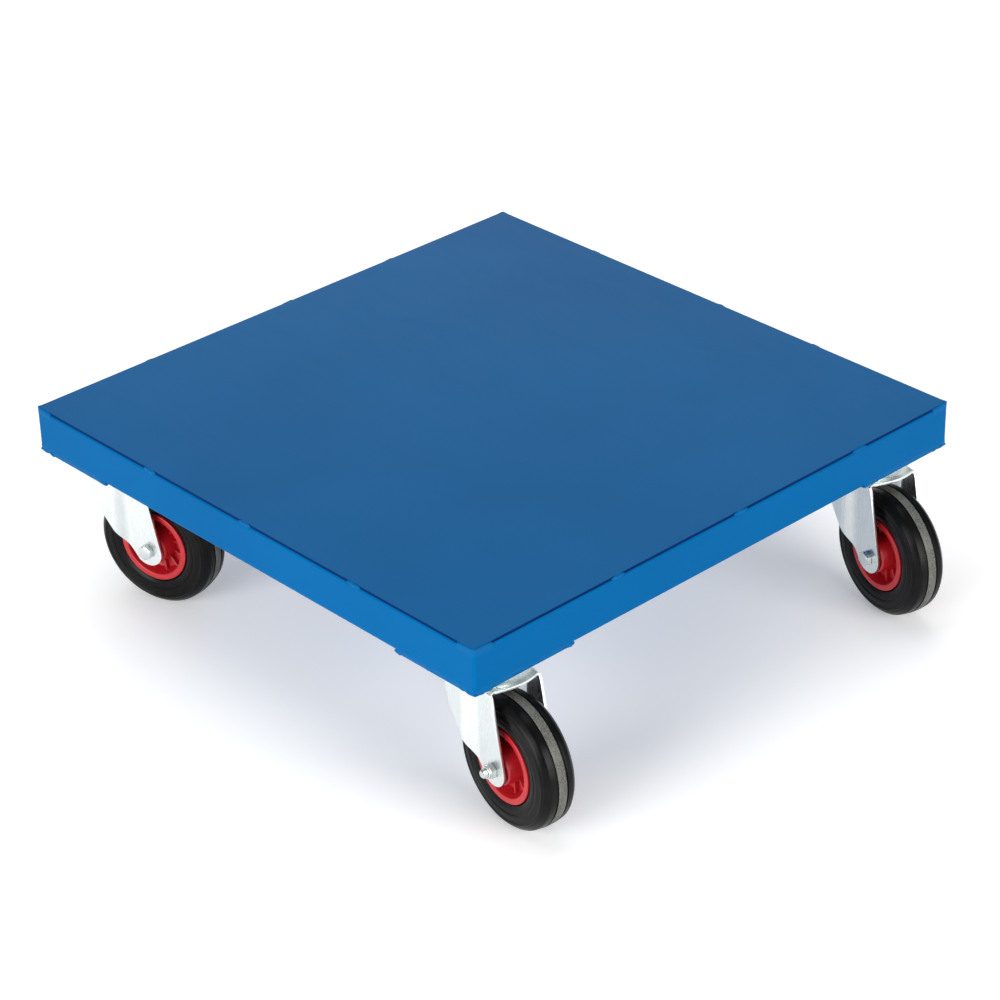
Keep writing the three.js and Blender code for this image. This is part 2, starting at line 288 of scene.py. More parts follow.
deck_low, deck_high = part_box("deck_sheet")
weld_paint = powder_coat("blue_powder_coat", 0.05)
# the frame's top just under the sheet and the sheet's cut edge carry the painted shade of the
# crevice
frame_paint = powder_coat("blue_powder_coat_frame", 0.02,
                          deck_low.z - 0.9 * MM, deck_low.z - 0.5 * MM)
deck_paint = powder_coat("blue_powder_coat_deck", 0.045,
                         deck_high.z - 0.1 * MM, deck_high.z - 0.4 * MM)
print("powder coat for welds, frame and deck")


# %% [markdown]
# **Bright zinc.** Zinc plating follows every roller mark of the pressed
# steel: a cool light grey that mirrors softly, streaked a little, with spots
# where the plating is thicker or slightly stained.
# %% Zinc plating and bearing steel
def zinc(name, color=(0.77, 0.81, 0.80), roughness=0.27):
    material, nodes, links, shader, place = new_finish(name, color, roughness, 1.0)
    stain = spread(nodes, links, noise(nodes, links, place, 55, 4), 0.0, 1.0)
    dull = tuple(0.96 * part for part in color)
    links.new(mix_colors(nodes, links, stain, color, dull), shader.inputs["Base Color"])
    streaks = noise(nodes, links, place, 300, 3, (1.0, 1.0, 0.08))
    links.new(spread(nodes, links, streaks, roughness - 0.02, roughness + 0.04),
              shader.inputs["Roughness"])
    relief(nodes, links, shader, streaks, 0.0005 * MM)
    return material


zinc_plate = zinc("zinc_plate")
zinc_bolt = zinc("zinc_plate_fasteners", (0.66, 0.70, 0.69), 0.22)
ball_steel = zinc("bearing_steel", (0.50, 0.51, 0.52), 0.14)
print("zinc plate, fasteners, bearing steel")


# %% [markdown]
# **Moulded plastics.** The rim is red polypropylene with a soft gloss and a
# faint flow pattern from the mould; the bearing cage is black nylon.
# %% Red and black plastic
def plastic(name, color, deep, roughness):
    material, nodes, links, shader, place = new_finish(name, color, roughness)
    flow = spread(nodes, links, noise(nodes, links, place, 90, 4), 0.0, 1.0)
    links.new(mix_colors(nodes, links, flow, color, deep), shader.inputs["Base Color"])
    fine = noise(nodes, links, place, 900, 2)
    links.new(spread(nodes, links, fine, roughness - 0.05, roughness + 0.08),
              shader.inputs["Roughness"])
    relief(nodes, links, shader, fine, 0.02 * MM)
    return material


red_plastic = plastic("red_polypropylene", (0.42, 0.008, 0.014), (0.36, 0.005, 0.010), 0.34)
black_nylon = plastic("black_nylon", (0.012, 0.012, 0.013), (0.02, 0.02, 0.02), 0.45)
print("red and black plastic")


# %% [markdown]
# **Rubber.** The sidewalls are as they left the mould, dark and satin. The
# middle of the tread has been rolled over a floor: grey dust sits in fine
# marks that run across it, so that finish reads the tyre's own map, which
# goes round the tread one way and across it the other.
# %% Tyre rubber and worn tread
def rubber():
    material, nodes, links, shader, place = new_finish("black_rubber", (0.012, 0.012, 0.013), 0.5)
    dust = spread(nodes, links, noise(nodes, links, place, 70, 5), 0.0, 1.0, 0.45, 0.75)
    color = mix_colors(nodes, links, dust, (0.0015, 0.0015, 0.0017), (0.004, 0.004, 0.004))
    links.new(color, shader.inputs["Base Color"])
    links.new(spread(nodes, links, dust, 0.30, 0.42, 0.0, 1.0), shader.inputs["Roughness"])
    shader.inputs["Specular IOR Level"].default_value = 0.13
    relief(nodes, links, shader, noise(nodes, links, place, 1400, 2), 0.03 * MM)
    return material


def worn_tread():
    material, nodes, links, shader, _ = new_finish("worn_tread", (0.15, 0.15, 0.14), 0.85)
    around = nodes.new("ShaderNodeUVMap")
    around.uv_map = "around"
    marks = noise(nodes, links, around.outputs["UV"], 800, 5, (1.0, 0.8, 1.0))
    patches = noise(nodes, links, around.outputs["UV"], 45, 3)
    grey = spread(nodes, links, marks, 0.0, 1.0, 0.38, 0.62)
    color = mix_colors(nodes, links, grey, (0.055, 0.057, 0.051), (0.155, 0.158, 0.142))
    worn = spread(nodes, links, patches, 0.0, 0.55, 0.45, 0.7)
    links.new(mix_colors(nodes, links, worn, color, (0.19, 0.19, 0.172)),
              shader.inputs["Base Color"])
    shader.inputs["Specular IOR Level"].default_value = 0.2
    relief(nodes, links, shader, marks, 0.08 * MM)
    return material


tyre_rubber = rubber()
tread_rubber = worn_tread()
print("rubber and tread")

# %% [markdown]
# ## The platform
# The deck is one sheet of 2 mm steel. A cube is scaled to the sheet's box,
# its upright corners are rounded and its rims lose their sharpness. The
# underside has the plain coat, without the dark line.
# %% Deck sheet
deck_middle = (deck_low + deck_high) / 2
deck = start("deck_sheet_steel", bpy.ops.mesh.primitive_cube_add, size=1,
             location=deck_middle, scale=deck_high - deck_low)
SHEET_CORNER, SHEET_RIM = 1.2 * MM, 0.35 * MM
bevel(deck, SHEET_CORNER, 3, lambda a, b: abs(a.z - b.z) > MM)
bevel(deck, SHEET_RIM, 2, lambda a, b: abs(a.z - b.z) < MM / 2)
deck.data.materials.append(deck_paint)
deck.data.materials.append(weld_paint)
for face in deck.data.polygons:
    face.material_index = 1 if face.normal.z < -0.9 else 0
mount(crisp(deck), "platform", "blue_paint", "deck_sheet")
print("deck sheet", tuple(round(v / MM, 1) for v in deck.dimensions), "mm")

# %% [markdown]
# The frame is four lengths of square tube, mitred, welded and ground flush
# before painting, so under the paint it is one ring. A block gets the radius
# of the grinding on its upright corners and that of the tube on its rims.
# Then a cutter takes out the middle: a smaller block whose top and bottom are
# extruded in steps that flare out, so the opening's rims come out round too.
# %% Frame ring
TUBE_RADIUS = 3 * MM
GROUND_RADIUS = 3.2 * MM
FLARE_STEPS = 4
rail_low, rail_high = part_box("rail_front")
tube = rail_high.z - rail_low.z
half_side = abs(rail_low.y)
opening = half_side - tube
frame_middle = Vector((0, 0, rail_low.z + tube / 2))

ring = start("frame_ring", bpy.ops.mesh.primitive_cube_add, size=1,
             location=frame_middle, scale=(2 * half_side, 2 * half_side, tube))
bevel(ring, GROUND_RADIUS, 5, lambda a, b: abs(a.z - b.z) > tube / 2)
bevel(ring, TUBE_RADIUS, 5, lambda a, b: abs(a.z - b.z) < MM)

cutter = start("cutter", bpy.ops.mesh.primitive_cube_add, size=1, location=frame_middle,
               scale=(2 * opening, 2 * opening, tube - 2 * TUBE_RADIUS))
half = opening
for step in range(FLARE_STEPS + 1):
    turned = math.pi / 2 * step / FLARE_STEPS
    next_turn = min(math.pi / 2, math.pi / 2 * (step + 1) / FLARE_STEPS)
    rise = TUBE_RADIUS * (math.sin(next_turn) - math.sin(turned)) or 2 * MM
    wide = opening + TUBE_RADIUS * (1 - math.cos(next_turn))
    for up in (1, -1):
        pick(cutter, "polygons", lambda face: face.normal.z * up > 0.9)
        bpy.ops.mesh.extrude_region_move(TRANSFORM_OT_translate={"value": (0, 0, up * rise)})
        bpy.ops.transform.resize(value=(wide / half, wide / half, 1), center_override=(0, 0, 0))
        done(cutter)
    half = wide
add_modifier(ring, "BOOLEAN", operation="DIFFERENCE", solver="EXACT", object=cutter)
bpy.data.objects.remove(cutter)
ring.data.materials.clear()
ring.data.materials.append(frame_paint)
mount(crisp(ring), "platform", "blue_paint",
      "rail_front", "rail_rear", "rail_left", "rail_right")
print("frame ring", tuple(round(v / MM, 1) for v in ring.dimensions), "mm")

# %% [markdown]
# One cross member of the same tube braces the sheet from side to side.
# %% Cross member
cross_low, cross_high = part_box("cross_member")
cross = start("cross_tube", bpy.ops.mesh.primitive_cube_add, size=1,
              location=(cross_low + cross_high) / 2, scale=cross_high - cross_low)
bevel(cross, TUBE_RADIUS, 4, lambda a, b: abs(a.x - b.x) > tube)
cross.data.materials.append(frame_paint)
mount(crisp(cross), "platform", "blue_paint", "cross_member")
print("cross tube", tuple(round(v / MM, 1) for v in cross.dimensions), "mm")

# %% [markdown]
# A weld bead is a row of small overlapping puddles. A sphere is stretched
# along the joint, subdivided and pushed about by a cloud texture, which
# leaves the lumps. Each bead has its own place in the cloud, so no two are
# alike.
# %% Weld beads
LUMP_SIZE, LUMP_HEIGHT = 4.5 * MM, 1.5 * MM
lumps = bpy.data.textures.new("lumps", "CLOUDS")
lumps.noise_scale = LUMP_SIZE


def bead(name, centre, length, width, height, along_y):
    """A lumpy bead of weld along X, or along Y."""
    piece = start(name, bpy.ops.mesh.primitive_uv_sphere_add,
                  segments=20, ring_count=12, radius=0.5,
                  rotation=(0, math.pi / 2, 0))
    for vertex in piece.data.vertices:
        point = vertex.co
        vertex.co = Vector((point.x * length, point.y * width, point.z * height))
    if along_y:
        piece.data.transform(Matrix.Rotation(math.pi / 2, 4, "Z"))
    piece.data.transform(Matrix.Translation(centre))
    add_modifier(piece, "SUBSURF", levels=1, render_levels=1)
    add_modifier(piece, "DISPLACE", texture=lumps, texture_coords="LOCAL",
                 strength=LUMP_HEIGHT, mid_level=0.5)
    piece.data.materials.append(weld_paint)
    return mount(smooth(piece, 60), "platform", "blue_paint")


# %% [markdown]
# Three tacks along each side hold the sheet. They are set by eye, so their
# places, given in millimetres from the middle of the side, are not even.
# %% Tack beads
TACK_WIDTH, TACK_HEIGHT = 3.4 * MM, 4.4 * MM
tack_z = deck_low.z - 0.1 * MM
tack_line = half_side - 0.9 * MM
TACKS = {"front": (-132, 20, 177), "left": (-150, -5, 130),
         "rear": (-168, 6, 141), "right": (-139, -12, 160)}
for side, places in TACKS.items():
    along_y = side in ("left", "right")
    line = -tack_line if side in ("front", "left") else tack_line
    for i, place in enumerate(places):
        centre = Vector((line, place * MM, tack_z) if along_y else (place * MM, line, tack_z))
        length = random.uniform(14, 19) * MM
        bead(f"tack_{side}_{i}", centre, length, TACK_WIDTH, TACK_HEIGHT, along_y)
print("tack beads:", sum(len(places) for places in TACKS.values()))

# %% [markdown]
# At the corners the weld runs 20 mm both ways and is ground off, so the
# sheet's corner runs smoothly into the frame. A small block does it: its
# outer edges are rounded, and it fills the joint under the sheet's corner.
# %% Corner welds, ground flush
CORNER_RUN = 21 * MM      # how far it reaches from the corner
CORNER_DEPTH = 5 * MM     # how far it reaches below the sheet
CORNER_TOP = 3.2 * MM     # radius of its top rim
SUNK = 0.35 * MM          # its top lies this much below the sheet's
PROUD = 0.12 * MM         # its sides stand this much outside the frame's


def corner_weld(corner):
    """The ground weld at one corner of the sheet."""
    sign_x = -1 if corner.endswith("left") else 1
    sign_y = -1 if corner.startswith("front") else 1
    low = deck_low.z - CORNER_DEPTH
    high = deck_high.z - SUNK
    reach = half_side + PROUD
    middle = reach - CORNER_RUN / 2
    piece = start("corner_weld_" + corner, bpy.ops.mesh.primitive_cube_add, size=1,
                  location=(sign_x * middle, sign_y * middle, (low + high) / 2),
                  scale=(CORNER_RUN, CORNER_RUN, high - low))

    def outside(point):
        return max(abs(point.x), abs(point.y)) > reach - MM / 10

    bevel(piece, GROUND_RADIUS, 4, lambda a, b: abs(a.z - b.z) > 3 * MM
          and min(abs(a.x), abs(a.y)) > reach - MM)
    bevel(piece, CORNER_TOP, 4, lambda a, b: outside(a) and outside(b)
          and min(a.z, b.z) > high - MM / 10)
    add_modifier(piece, "SUBSURF", levels=2, render_levels=2, subdivision_type="SIMPLE")
    add_modifier(piece, "DISPLACE", texture=lumps, texture_coords="LOCAL",
                 strength=0.35 * MM, mid_level=0.5)
    piece.data.materials.append(weld_paint)
    return mount(smooth(piece, 50), "platform", "blue_paint")


for corner in CORNERS:
    corner_weld(corner)
print("corner welds:", len(CORNERS))

# %% [markdown]
# Under each corner a plate is welded on for the caster. It keeps its sawn
# corners. The weld along its two outer edges fills the hollow under the
# tube's rounded edge and is left a little uneven.
# %% Corner plates
def plate_weld(name, centre, size, unevenness):
    """A fillet along one edge of a plate, uneven along its length."""
    piece = start(name, bpy.ops.mesh.primitive_cube_add, size=1, location=centre, scale=size)
    bevel(piece, 1.1 * MM, 3, lambda a, b: True)

    def is_long(edge):
        a, b = ends(piece, edge)
        return (a - b).length > 20 * MM

    pick(piece, "edges", is_long)
    bpy.ops.mesh.subdivide(number_cuts=40)
    done(piece)
    add_modifier(piece, "DISPLACE", texture=lumps, texture_coords="LOCAL",
                 strength=unevenness, mid_level=0.5)
    piece.data.materials.append(weld_paint)
    return mount(smooth(piece, 50), "platform", "blue_paint")


WELD_DEPTH, WELD_TOP, WELD_LIFT = 5 * MM, 6.6 * MM, 0.2 * MM
ROUGHEST = 2 * MM         # the front left plate's weld, the least even of all
for corner in CORNERS:
    low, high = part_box("corner_plate_" + corner)
    middle, size = (low + high) / 2, high - low
    plate = start("mounting_plate_" + corner, bpy.ops.mesh.primitive_cube_add, size=1,
                  location=middle, scale=size)
    bevel(plate, 0.5 * MM, 2, lambda a, b: True)
    plate.data.materials.append(frame_paint)
    mount(crisp(plate), "platform", "blue_paint", "corner_plate_" + corner)
    out = half_side - WELD_DEPTH / 2
    z = low.z + WELD_TOP / 2 + WELD_LIFT
    unevenness = random.uniform(0.8, 1.2) * MM
    if corner == "front_left":
        unevenness = ROUGHEST
    plate_weld("plate_weld_x_" + corner, Vector((middle.x, math.copysign(out, middle.y), z)),
               Vector((size.x - 2 * MM, WELD_DEPTH, WELD_TOP)), unevenness)
    plate_weld("plate_weld_y_" + corner, Vector((math.copysign(out, middle.x), middle.y, z)),
               Vector((WELD_DEPTH, size.y - 2 * MM, WELD_TOP)), unevenness)
print("corner plates with their welds")

# %% [markdown]
# Each of those welds starts near the frame's corner and stops at the plate's
# end, and leaves thick drops of metal there that hang under the plate.
# %% Drops at the ends of the plate welds
DROP_WIDTH, DROP_HEIGHT = 4 * MM, 5 * MM
DROP_INSET = 1.3 * MM     # a drop's middle from the frame's face and the plate's underside


def weld_drops(corner):
    """Drops along the two outer edges of one corner plate."""
    low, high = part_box("corner_plate_" + corner)
    sign_x = math.copysign(1, low.x + high.x)
    sign_y = math.copysign(1, low.y + high.y)
    face = half_side - DROP_INSET
    for side, length in (("x", high.x - low.x), ("y", high.y - low.y)):
        stops = (7 * MM, 17 * MM, length - 5 * MM)
        for i, stop in enumerate(stops):
            run = half_side - stop
            across, away = (run, face) if side == "x" else (face, run)
            centre = Vector((sign_x * across, sign_y * away, low.z + DROP_INSET))
            drop = random.uniform(9, 14) * MM
            bead(f"weld_drop_{side}_{i}_{corner}", centre, drop, DROP_WIDTH, DROP_HEIGHT,
                 side == "y")


for corner in CORNERS:
    weld_drops(corner)
print("weld drops:", 6 * len(CORNERS))

# %% [markdown]
# ## The caster
# All four casters are alike, so each piece is modelled once, in the caster's
# own frame: x from the swivel axis towards the axle, y along the axle, z up
# from the floor. Round pieces are profiles turned on an axis. A profile
# starts as a circle with as many points as it needs; the points are laid on
# the profile and the spin operator turns it. Corners may carry a radius.
# %% Round profiles and the spin
def rounded(corners, steps=4):
    """An outline through (a, b, radius) corners, each rounded to its radius."""
    outline = []
    for i, (a, b, radius) in enumerate(corners):
        here = Vector((a, b))
        before = Vector(corners[i - 1][:2]) - here
        after = Vector(corners[(i + 1) % len(corners)][:2]) - here
        turn = before.angle(after)
        if radius == 0 or turn > math.pi - 0.01:
            outline.append(here)
            continue
        reach = min(radius / math.tan(turn / 2), 0.48 * before.length, 0.48 * after.length)
        radius = reach * math.tan(turn / 2)
        before.normalize()
        after.normalize()
        centre = here + (before + after).normalized() * radius / math.sin(turn / 2)
        first = here + before * reach - centre
        sweep = first.angle_signed(here + after * reach - centre)
        for step in range(steps + 1):
            spoke = first.copy()
            spoke.rotate(Matrix.Rotation(-sweep * step / steps, 2))
            outline.append(centre + spoke)
    return outline


def spun(name, corners, axis="Z", centre=(0, 0, 0), steps=64, arc_steps=4):
    """A solid turned from (radius, height, rounding) corners in millimetres."""
    outline = rounded(corners, arc_steps)
    piece = start(name, bpy.ops.mesh.primitive_circle_add, vertices=len(outline))
    for vertex, (radius, height) in zip(piece.data.vertices, outline):
        vertex.co = Vector((max(radius, 0) * MM, 0, height * MM))
    activate(piece)
    bpy.ops.object.mode_set(mode="EDIT")
    bpy.ops.mesh.select_all(action="SELECT")
    bpy.ops.mesh.spin(steps=steps, angle=2 * math.pi, center=(0, 0, 0), axis=(0, 0, 1))
    bpy.ops.mesh.select_all(action="SELECT")
    bpy.ops.mesh.remove_doubles(threshold=0.001 * MM)
    bpy.ops.mesh.dissolve_degenerate(threshold=0.0005 * MM)
    bpy.ops.mesh.delete_loose()
    bpy.ops.mesh.select_all(action="SELECT")
    bpy.ops.mesh.normals_make_consistent(inside=False)
    done(piece)
    if axis == "Y":
        piece.data.transform(Matrix.Rotation(-math.pi / 2, 4, "X"))
    piece.data.transform(Matrix.Translation(centre))
    return piece


WHEEL = Vector((TRAIL, 0, AXLE_Z))


def mirrored(half):
    """A half profile and its mirror image, as one closed profile."""
    return [(r, -w, rounding) for r, w, rounding in reversed(half) if w] + list(half)


# %% [markdown]
# **Tyre.** The tread is flat in the middle between two grooves. Round
# shoulders lead to the sidewall, which carries two raised rings, and a lip
# closes on the rim's flange. Half the section is drawn and mirrored.
# %% Tyre
TREAD_EDGE = 4.4
tyre_half = [
    (62.5, 0.0, 0), (62.4, 4.2, 0.2), (61.2, 4.6, 0.3), (61.1, 5.6, 0.3), (62.1, 6.1, 0.3),
    (61.3, 12.0, 3.5), (57.4, 16.2, 3.0), (55.6, 16.9, 0.3), (55.1, 17.5, 0.3),
    (53.6, 17.7, 0.3), (53.0, 17.3, 0.3), (48.0, 18.0, 2.0), (45.9, 17.9, 0.2),
    (45.4, 17.4, 0.2), (44.6, 17.4, 0.2), (44.1, 17.8, 0.2), (40.6, 17.4, 1.5),
    (37.2, 16.2, 0.8), (36.4, 14.2, 0.5), (32.4, 13.4, 0.5),
]
tyre = spun("tyre", mirrored(tyre_half), "Y", WHEEL, steps=120, arc_steps=3)


def map_around(piece, name="around"):
    """A map in metres: round the axle one way, along the axle the other."""
    layer = piece.data.uv_layers.new(name=name)
    for face in piece.data.polygons:
        middle = face.center - WHEEL
        base = math.atan2(middle.z, middle.x)
        for loop in face.loop_indices:
            spoke = piece.data.vertices[piece.data.loops[loop].vertex_index].co - WHEEL
            turn = math.atan2(spoke.z, spoke.x) - base
            turn = (turn + math.pi) % (2 * math.pi) - math.pi
            layer.data[loop].uv = ((base + turn) * AXLE_Z, spoke.y)


map_around(tyre)
tyre.data.materials.append(tyre_rubber)
tyre.data.materials.append(tread_rubber)
for face in tyre.data.polygons:
    middle = face.center - WHEEL
    on_tread = abs(middle.y) < TREAD_EDGE * MM and middle.xz.length > 62 * MM
    face.material_index = 1 if on_tread else 0
smooth(tyre)
print("tyre faces:", len(tyre.data.polygons))

# %% [markdown]
# **Rim.** A flange on each side holds the tyre. Inside it the rim falls back
# to a thin web, stiffened by ribs between the hub and the flange. The ribs
# are thin blocks, one modelled and the rest turned about the axle, and a
# boolean makes them one piece with the turned part.
# %% Rim
RIBS = 12
rim_half = [
    (32.2, 14.1, 0.4), (36.0, 14.5, 0.4), (36.0, 17.2, 0.9), (30.2, 17.2, 1.2),
    (27.6, 5.0, 2.0), (18.4, 4.0, 2.5), (16.4, 20.6, 0.8), (15.2, 22.0, 0.8),
    (12.0, 22.0, 0.5),
]
rim = spun("rim", mirrored(rim_half), "Y", WHEEL, steps=96, arc_steps=3)
rib = start("rib", bpy.ops.mesh.primitive_cube_add, size=1,
            location=(22.9 * MM, 0, 0), scale=(12.4 * MM, 20 * MM, 2.0 * MM))
pick(rib, "vertices", lambda v: v.co.x < 20 * MM)
bpy.ops.transform.resize(value=(1, 0.8, 1), center_override=(0, 0, 0))
done(rib)
bevel(rib, 0.5 * MM, 2, lambda a, b: abs(abs(a.y) - abs(b.y)) < 4 * MM
      and a.y * b.y > 0)
ribs = []
for i in range(RIBS):
    turn = Matrix.Rotation(2 * math.pi * (i + 0.5) / RIBS, 4, "Y")
    ribs.append(copy_to(rib, f"rib_{i}", Matrix.Translation(WHEEL) @ turn))
bpy.data.objects.remove(rib)
activate(*ribs)
bpy.ops.object.join()
add_modifier(rim, "BOOLEAN", operation="UNION", solver="EXACT", object=ribs[0])
bpy.data.objects.remove(ribs[0])
rim.data.materials.clear()
rim.data.materials.append(red_plastic)
smooth(rim, 32)
print("rim faces:", len(rim.data.polygons))

# %% [markdown]
# **Hub.** The roller bearing shows as a black ring in the hub's mouth, and
# through it passes the steel sleeve that the axle bolt clamps between the
# fork's legs.
# %% Roller bearing and axle sleeve
SLEEVE_HALF = 24.4
bearing = spun("roller_bearing", [
    (7.8, -20.6, 0.2), (9.4, -20.9, 0.4), (9.8, -20.2, 0.2), (11.7, -20.2, 0.3),
    (11.7, 20.2, 0.3), (9.8, 20.2, 0.2), (9.4, 20.9, 0.4), (7.8, 20.6, 0.2),
], "Y", WHEEL, steps=48, arc_steps=2)
bearing.data.materials.append(black_nylon)
smooth(bearing)
sleeve = spun("axle_sleeve", [
    (4.3, -SLEEVE_HALF, 0.3), (7.5, -SLEEVE_HALF, 0.3),
    (7.5, SLEEVE_HALF, 0.3), (4.3, SLEEVE_HALF, 0.3),
], "Y", WHEEL, steps=48, arc_steps=2)
sleeve.data.materials.append(zinc_plate)
smooth(sleeve)
print("bearing and sleeve")

# %% [markdown]
# **Axle bolt and nut.** A hexagon is a six-sided cylinder whose end face is
# inset and lifted, which gives the chamfer. The bolt's free end carries real
# thread rings, and the lock nut has a round collar.
# %% Hexagons, threads and bolts
def hexagon(name, corner, low, high, chamfer=0.9):
    """A hexagon along Z in millimetres, chamfered on its upper end."""
    piece = start(name, bpy.ops.mesh.primitive_cylinder_add, vertices=6,
                  radius=corner * MM, depth=(high - low) * MM,
                  location=(0, 0, (low + high) / 2 * MM))
    for share in (0.5, 1.0):
        pick(piece, "polygons", lambda face: face.normal.z > 0.99)
        bpy.ops.mesh.inset(thickness=chamfer * share * MM, depth=0.28 * MM)
        done(piece)
    bevel(piece, 0.25 * MM, 2, lambda a, b: abs(a.z - b.z) > (high - low) / 2 * MM)
    return piece


def thread(radius, low, high, pitch=1.25, depth=0.65):
    """Corners of a threaded bar's side from low to high."""
    turns = int((high - low) / pitch)
    rings = []
    for i in range(turns):
        z = low + i * pitch
        rings += [(radius - depth, z, 0), (radius, z + pitch * 0.45, 0),
                  (radius, z + pitch * 0.6, 0)]
    return rings


SEAT = 27.5
BOLT_TIP = -38.5
axle_bar = spun("axle_bar", [
    (0, BOLT_TIP, 0), (3.1, BOLT_TIP, 0), *thread(4.0, BOLT_TIP + 0.5, -27.5),
    (3.6, -27.0, 0), (4.0, -26.0, 0), (4.0, SEAT + 1, 0), (0, SEAT + 1, 0),
], steps=32)
axle_head = hexagon("axle_head", 7.5, SEAT, SEAT + 4.8)
activate(axle_bar, axle_head)
bpy.ops.object.join()
axle_bolt = axle_bar
nut_body = hexagon("nut_body", 7.5, SEAT, SEAT + 5.0, 1.1)
nut_collar = spun("nut_collar", [(4.05, SEAT + 1, 0), (6.0, SEAT + 1, 0), (6.0, SEAT + 7.0, 1.0),
                                 (4.05, SEAT + 7.0, 0.3)], steps=40)
activate(nut_body, nut_collar)
bpy.ops.object.join()
axle_nut = nut_body
axle_nut.data.transform(Matrix.Rotation(math.pi, 4, "X"))
for piece in (axle_bolt, axle_nut):
    piece.data.transform(Matrix.Translation(WHEEL) @ Matrix.Rotation(-math.pi / 2, 4, "X"))
    piece.data.materials.append(zinc_bolt)
    smooth(piece, 30)
print("axle bolt and nut")

# %% [markdown]
# **Fork.** It is pressed from one flat blank of 2.5 mm steel, and it is made
# here in the same way: a flat grid is bent over. One way across the grid
# runs up the near leg, over the crown and down the far leg; the other runs
# from the leg's back edge to its front edge. Seen from above each leg steps
# from a wide stance beside the swivel axis to a narrow one beside the axle,
# and the crown is dished up to carry the bearing. The sheet then gets its
# thickness, a hole for the king pin and softened edges.
# %% The fork's shape, in millimetres
STEEL = 2.5
LEG_WIDE, LEG_NARROW = 35.4, 27.2
JOGGLE = (10.0, 24.0)
LEG_BACK, LEG_FRONT = -12.5, 41.0
FOLD = 4.5
RIM_Z, DRUM_Z = 139.0, 144.0
CROWN_BACK, CROWN_FRONT = 30.5, 4.0
END_RADIUS = 15.0
END_X = TRAIL / MM + 1.0
END_Z = AXLE_Z / MM
BACK_EDGE = ((32.6, 50.6), (0.5, 95.5), (-8.0, 108.0), (LEG_BACK, 121.0), (LEG_BACK, 150.0))
FRONT_EDGE = ((57.8, 60.1), (LEG_FRONT, 138.0), (LEG_FRONT, 150.0))


def ease(value):
    """Rises smoothly from 0 to 1."""
    value = min(1.0, max(0.0, value))
    return value * value * (3 - 2 * value)


def leg_line(x):
    """Outer face of the leg, from the fork's middle plane."""
    step = ease((x - JOGGLE[0]) / (JOGGLE[1] - JOGGLE[0]))
    return LEG_WIDE + (LEG_NARROW - LEG_WIDE) * step


def crown_height(x, y):
    """The crown's top: a flat rim that rises to the drum over the bearing."""
    return RIM_Z + (DRUM_Z - RIM_Z) * ease((42.5 - math.hypot(x, y)) / 9.5)


def along(points, z):
    """x of a rising line of points at height z."""
    for (x0, z0), (x1, z1) in zip(points, points[1:]):
        if z <= z1:
            return x0 + (x1 - x0) * (z - z0) / (z1 - z0)
    return points[-1][0]


def leg_edges(z):
    """Back and front edge of the leg at height z."""
    chord = math.sqrt(max(0.0, END_RADIUS ** 2 - (z - END_Z) ** 2))
    back = END_X - chord if z < BACK_EDGE[0][1] else along(BACK_EDGE, z)
    front = END_X + chord if z < FRONT_EDGE[0][1] else along(FRONT_EDGE, z)
    return back, front


print("leg is %.0f mm wide at the crown" % (LEG_FRONT - LEG_BACK))

# %% [markdown]
# The rows of the grid are shared out: close together round the leg's end and
# in the fold, wider along the straight of the leg and across the crown.
# %% Bend the blank
ACROSS = 36
END_ROWS, LEG_ROWS, FOLD_ROWS, CROWN_ROWS = 12, 26, 6, 22
LEG_TOP = RIM_Z - FOLD


def leg_height(row):
    """Height of a row that counts up from the leg's end."""
    if row < END_ROWS:
        angle = 0.12 + (1.35 - 0.12) * row / END_ROWS
        return END_Z - END_RADIUS * math.cos(angle)
    foot = END_Z - END_RADIUS * math.cos(1.35)
    return foot + (LEG_TOP - foot) * (row - END_ROWS) / LEG_ROWS


def leg_point(share, row):
    """A point of the leg; its top rows follow the crown's edge."""
    z = leg_height(row)
    back, front = leg_edges(z)
    x = back + share * (front - back)
    top = crown_height(x, leg_line(x) - FOLD) - FOLD
    rise = (z - END_Z) / (LEG_TOP - END_Z)
    return x, leg_line(x), z + (top - LEG_TOP) * max(0.0, rise) ** 4


def fold_point(share, row):
    """A point of the quarter round between leg and crown."""
    angle = math.pi / 2 * (1 - row / FOLD_ROWS)
    x = LEG_BACK + share * (LEG_FRONT - LEG_BACK)
    flat = leg_line(x) - FOLD
    height = crown_height(x, flat) - FOLD
    return x, flat + FOLD * math.sin(angle), height + FOLD * math.cos(angle)


def crown_point(share, row):
    """A point of the crown, from one leg to the fork's middle."""
    across = 1 - row / CROWN_ROWS
    back = LEG_BACK - CROWN_BACK * math.sqrt(1 - across * across)
    front = LEG_FRONT + CROWN_FRONT * (1 - across * across)
    x = back + share * (front - back)
    y = across * (leg_line(x) - FOLD)
    return x, y, crown_height(x, y)


def blank_point(share, row):
    """Where a point of the flat blank goes; rows count from one leg's end."""
    half = END_ROWS + LEG_ROWS + FOLD_ROWS + CROWN_ROWS
    side = -1 if row <= half else 1
    row = min(row, 2 * half - row)
    if row <= END_ROWS + LEG_ROWS:
        x, y, z = leg_point(share, row)
    elif row <= END_ROWS + LEG_ROWS + FOLD_ROWS:
        x, y, z = fold_point(share, row - END_ROWS - LEG_ROWS)
    else:
        x, y, z = crown_point(share, row - END_ROWS - LEG_ROWS - FOLD_ROWS)
    return Vector((x, side * y, z)) * MM


